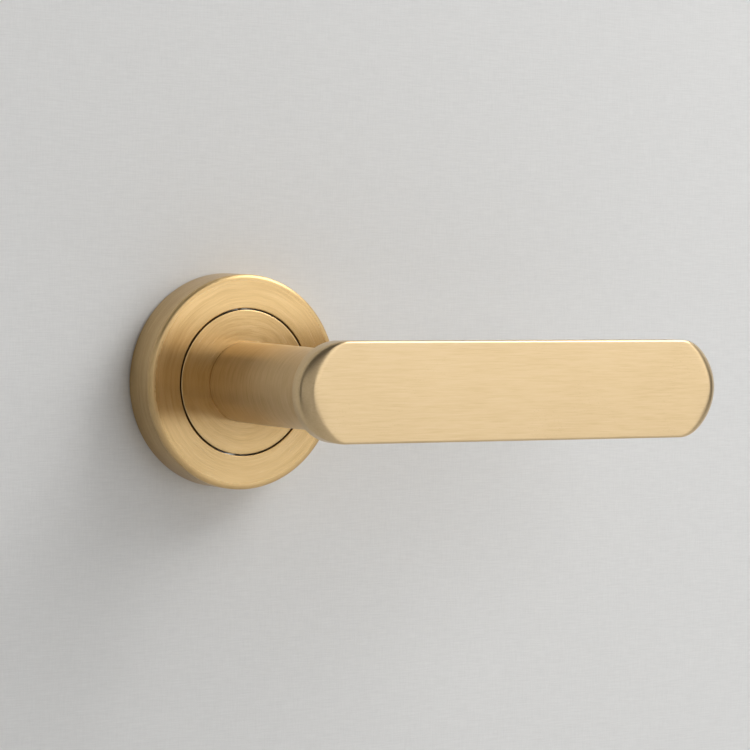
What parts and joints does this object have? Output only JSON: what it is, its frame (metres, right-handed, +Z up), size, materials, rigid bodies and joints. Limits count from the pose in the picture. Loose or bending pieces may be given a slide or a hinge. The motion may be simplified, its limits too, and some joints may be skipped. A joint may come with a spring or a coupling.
{
  "type": "door lever handle",
  "caption": "Brushed brass door lever: flat bar grip with round ends on a turned neck, round rose with a sliding cover, sprung cassette, square spindle and fixings.",
  "frame": {"origin": "on the spindle's axis at the face of the door, midway between the through bolts", "axes": "+X along the lever to its free end, +Z up, -Y out of the door, +Y into the door along the spindle"},
  "size_m": [0.1349, 0.1156, 0.053],
  "materials": {
    "satin_brass": "brushed satin",
    "rose_brass": "concentrically brushed satin",
    "steel": "zinc plated",
    "spring_steel": "drawn wire",
    "zinc_casting": "die cast zinc",
    "nylon": "moulded",
    "black_rubber": "smooth"
  },
  "bodies": {
    "base": {"cover_o_ring": "black_rubber", "cassette_housing": "zinc_casting", "back_plate": "steel", "back_plate_screws": "steel", "return_spring": "spring_steel", "journal_bush": "nylon", "thrust_spring_washer": "spring_steel", "rotor_washer": "nylon", "rotor_bush": "nylon", "stop_pins": "steel", "spring_anchor_pin": "steel", "fixing_bolts": "steel", "wood_screws": "steel"},
    "lever": {"lever_grip": "satin_brass", "lever_neck": "satin_brass", "neck_collar": "rose_brass", "grip_screw": "steel", "grip_dowels": "steel", "lever_grub_screw": "spring_steel", "spindle": "steel", "rotor": "steel"},
    "rose_cover": {"rose_cover": "rose_brass"}
  },
  "joints": [
    {"name": "lever_turn", "type": "hinge", "parent": "base", "child": "lever", "pos_m": [0, 0, 0], "axis": [0, 1, 0], "range_deg": [0, 45], "stiffness_Nm_per_rad": 1, "springref_deg": -34.38, "deforming": ["return_spring"]},
    {"name": "cover_slide", "type": "slide", "parent": "base", "child": "rose_cover", "axis": [0, -1, 0], "range_m": [0, 0.04]}
  ]
}
